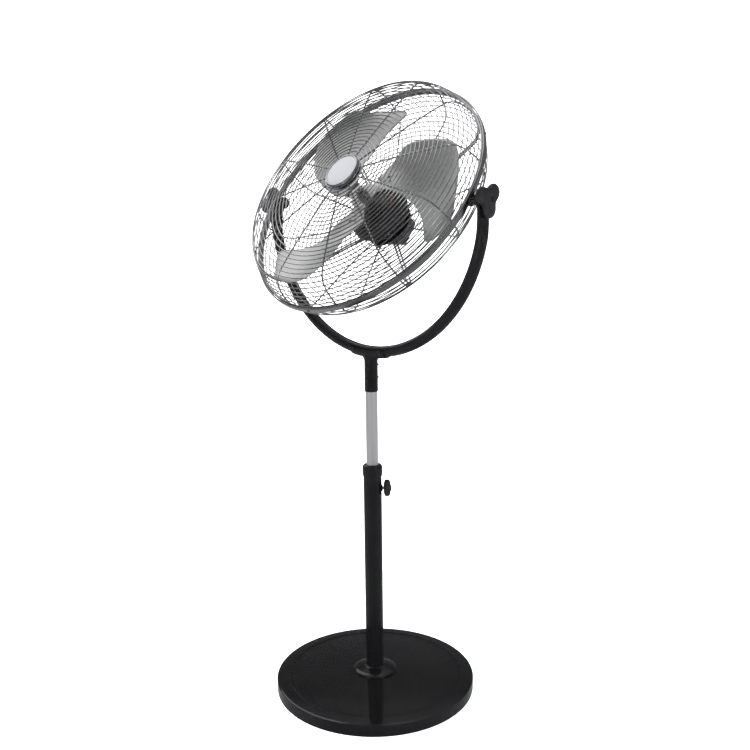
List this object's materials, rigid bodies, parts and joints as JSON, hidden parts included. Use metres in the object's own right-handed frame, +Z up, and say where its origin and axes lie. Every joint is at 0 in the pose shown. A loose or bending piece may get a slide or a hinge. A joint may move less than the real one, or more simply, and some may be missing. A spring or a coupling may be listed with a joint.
{
  "type": "pedestal axial air mover",
  "caption": "Caged high-velocity axial fan in a U-yoke with tilt knobs, on a telescopic pole with a height lock and a round weighted base.",
  "frame": {"origin": "middle of the base's floor face, on the pole's axis", "axes": "+Z up the pole; X along the tilt pivots; at rest the fan blows towards -Y, tilted up 38 degrees"},
  "size_m": [0.6346, 0.457, 1.3438],
  "materials": {
    "gloss_black": "glossy black powder coat",
    "matte_black": "satin black moulded plastic",
    "motor_black": "semi-gloss black enamel on the motor's shells",
    "silver": "satin silver paint",
    "chrome": "bright plated steel wire",
    "steel": "zinc plated steel",
    "dark_steel": "blackened steel screws",
    "aluminium": "rolled sheet, satin",
    "iron": "rough cast",
    "copper": "enamelled copper wire",
    "nylon": "natural nylon",
    "rubber": "matt black rubber",
    "badge": "blank pearl-silver disc"
  },
  "bodies": {
    "stand": {"base_cover": "gloss_black", "base_ballast": "iron", "base_underplate": "matte_black", "foot_ring": "rubber", "base_nut": "steel", "pole_anchor": "steel", "base_flange": "gloss_black", "lower_tube": "gloss_black", "pole_collar": "matte_black", "guide_bush": "nylon"},
    "lock_stud": {"height_lock_stud": "steel"},
    "lock_knob": {"height_lock_knob": "matte_black"},
    "slider": {"mast_end_plug": "nylon"},
    "mast": {"upper_tube": "silver", "tee_bracket": "gloss_black", "mast_screw_lower": "dark_steel", "mast_screw_upper": "dark_steel", "yoke": "gloss_black", "saddle_screw_left": "dark_steel", "saddle_screw_right": "dark_steel"},
    "head": {"rim_band": "chrome", "front_grille": "chrome", "rear_grille": "chrome", "badge_bezel": "chrome", "badge_face": "badge", "rim_screw_1": "steel", "rim_screw_2": "steel", "rim_screw_3": "steel", "rim_screw_4": "steel", "rim_screw_5": "steel", "rim_screw_6": "steel", "pivot_inner_disc_left": "matte_black", "pivot_inner_disc_right": "matte_black", "pivot_boss_left": "matte_black", "pivot_boss_right": "matte_black", "tilt_bolt_left": "steel", "tilt_bolt_right": "steel", "motor_front_housing": "motor_black", "motor_rear_housing": "motor_black", "stator_core": "steel", "stator_winding": "copper", "bearing_front": "steel", "bearing_rear": "steel", "motor_plate": "matte_black", "switch_box": "matte_black", "speed_switch": "nylon", "capacitor": "nylon", "cable_gland": "matte_black"},
    "tilt_washer_l": {"tilt_washer_left": "nylon"},
    "tilt_knob_l": {"tilt_knob_left": "matte_black"},
    "tilt_washer_r": {"tilt_washer_right": "nylon"},
    "tilt_knob_r": {"tilt_knob_right": "matte_black"},
    "rotor": {"motor_shaft": "steel", "rotor_core": "steel", "blade_hub": "steel", "hub_nut": "steel", "blade_1": "aluminium", "blade_2": "aluminium", "blade_3": "aluminium"},
    "selector": {"speed_knob": "matte_black"}
  },
  "joints": [
    {"name": "height_lock_travel", "type": "slide", "parent": "stand", "child": "lock_stud", "axis": [0.7193, 0.6947, 0], "range_m": [0, 0.0025]},
    {"name": "height_lock_turn", "type": "hinge", "parent": "lock_stud", "child": "lock_knob", "pos_m": [0.02158, 0.02084, 0.479], "axis": [0.7193, 0.6947, 0], "range_deg": [0, 720]},
    {"name": "mast_height", "type": "slide", "parent": "stand", "child": "slider", "axis": [0, 0, 1], "range_m": [-0.16, 0.15]},
    {"name": "mast_swivel", "type": "hinge", "parent": "slider", "child": "mast", "pos_m": [0, 0, 0.6], "axis": [0, 0, 1], "continuous": true},
    {"name": "head_tilt", "type": "hinge", "parent": "mast", "child": "head", "pos_m": [0, 0, 1.102], "axis": [-1, 0, 0], "range_deg": [-128, 52]},
    {"name": "blade_spin", "type": "hinge", "parent": "head", "child": "rotor", "pos_m": [0, 0, 1.102], "axis": [0, -0.788, 0.6157], "continuous": true},
    {"name": "speed_select", "type": "hinge", "parent": "head", "child": "selector", "pos_m": [0, 0.09456, 1.02812], "axis": [0, -0.788, 0.6157], "range_deg": [0, 135]},
    {"name": "tilt_lock_travel_l", "type": "slide", "parent": "head", "child": "tilt_washer_l", "axis": [-1, 0, 0], "range_m": [0, 0.0025]},
    {"name": "tilt_lock_turn_l", "type": "hinge", "parent": "tilt_washer_l", "child": "tilt_knob_l", "pos_m": [-0.306, 0, 1.102], "axis": [-1, 0, 0], "range_deg": [0, 720]},
    {"name": "tilt_lock_travel_r", "type": "slide", "parent": "head", "child": "tilt_washer_r", "axis": [1, 0, 0], "range_m": [0, 0.0025]},
    {"name": "tilt_lock_turn_r", "type": "hinge", "parent": "tilt_washer_r", "child": "tilt_knob_r", "pos_m": [0.306, 0, 1.102], "axis": [1, 0, 0], "range_deg": [0, 720]}
  ],
  "couplings": [
    {"joint": "height_lock_turn", "follows": "height_lock_travel", "rad_per_m": 5026.5},
    {"joint": "tilt_lock_turn_l", "follows": "tilt_lock_travel_l", "rad_per_m": 5026.5},
    {"joint": "tilt_lock_turn_r", "follows": "tilt_lock_travel_r", "rad_per_m": 5026.5}
  ]
}
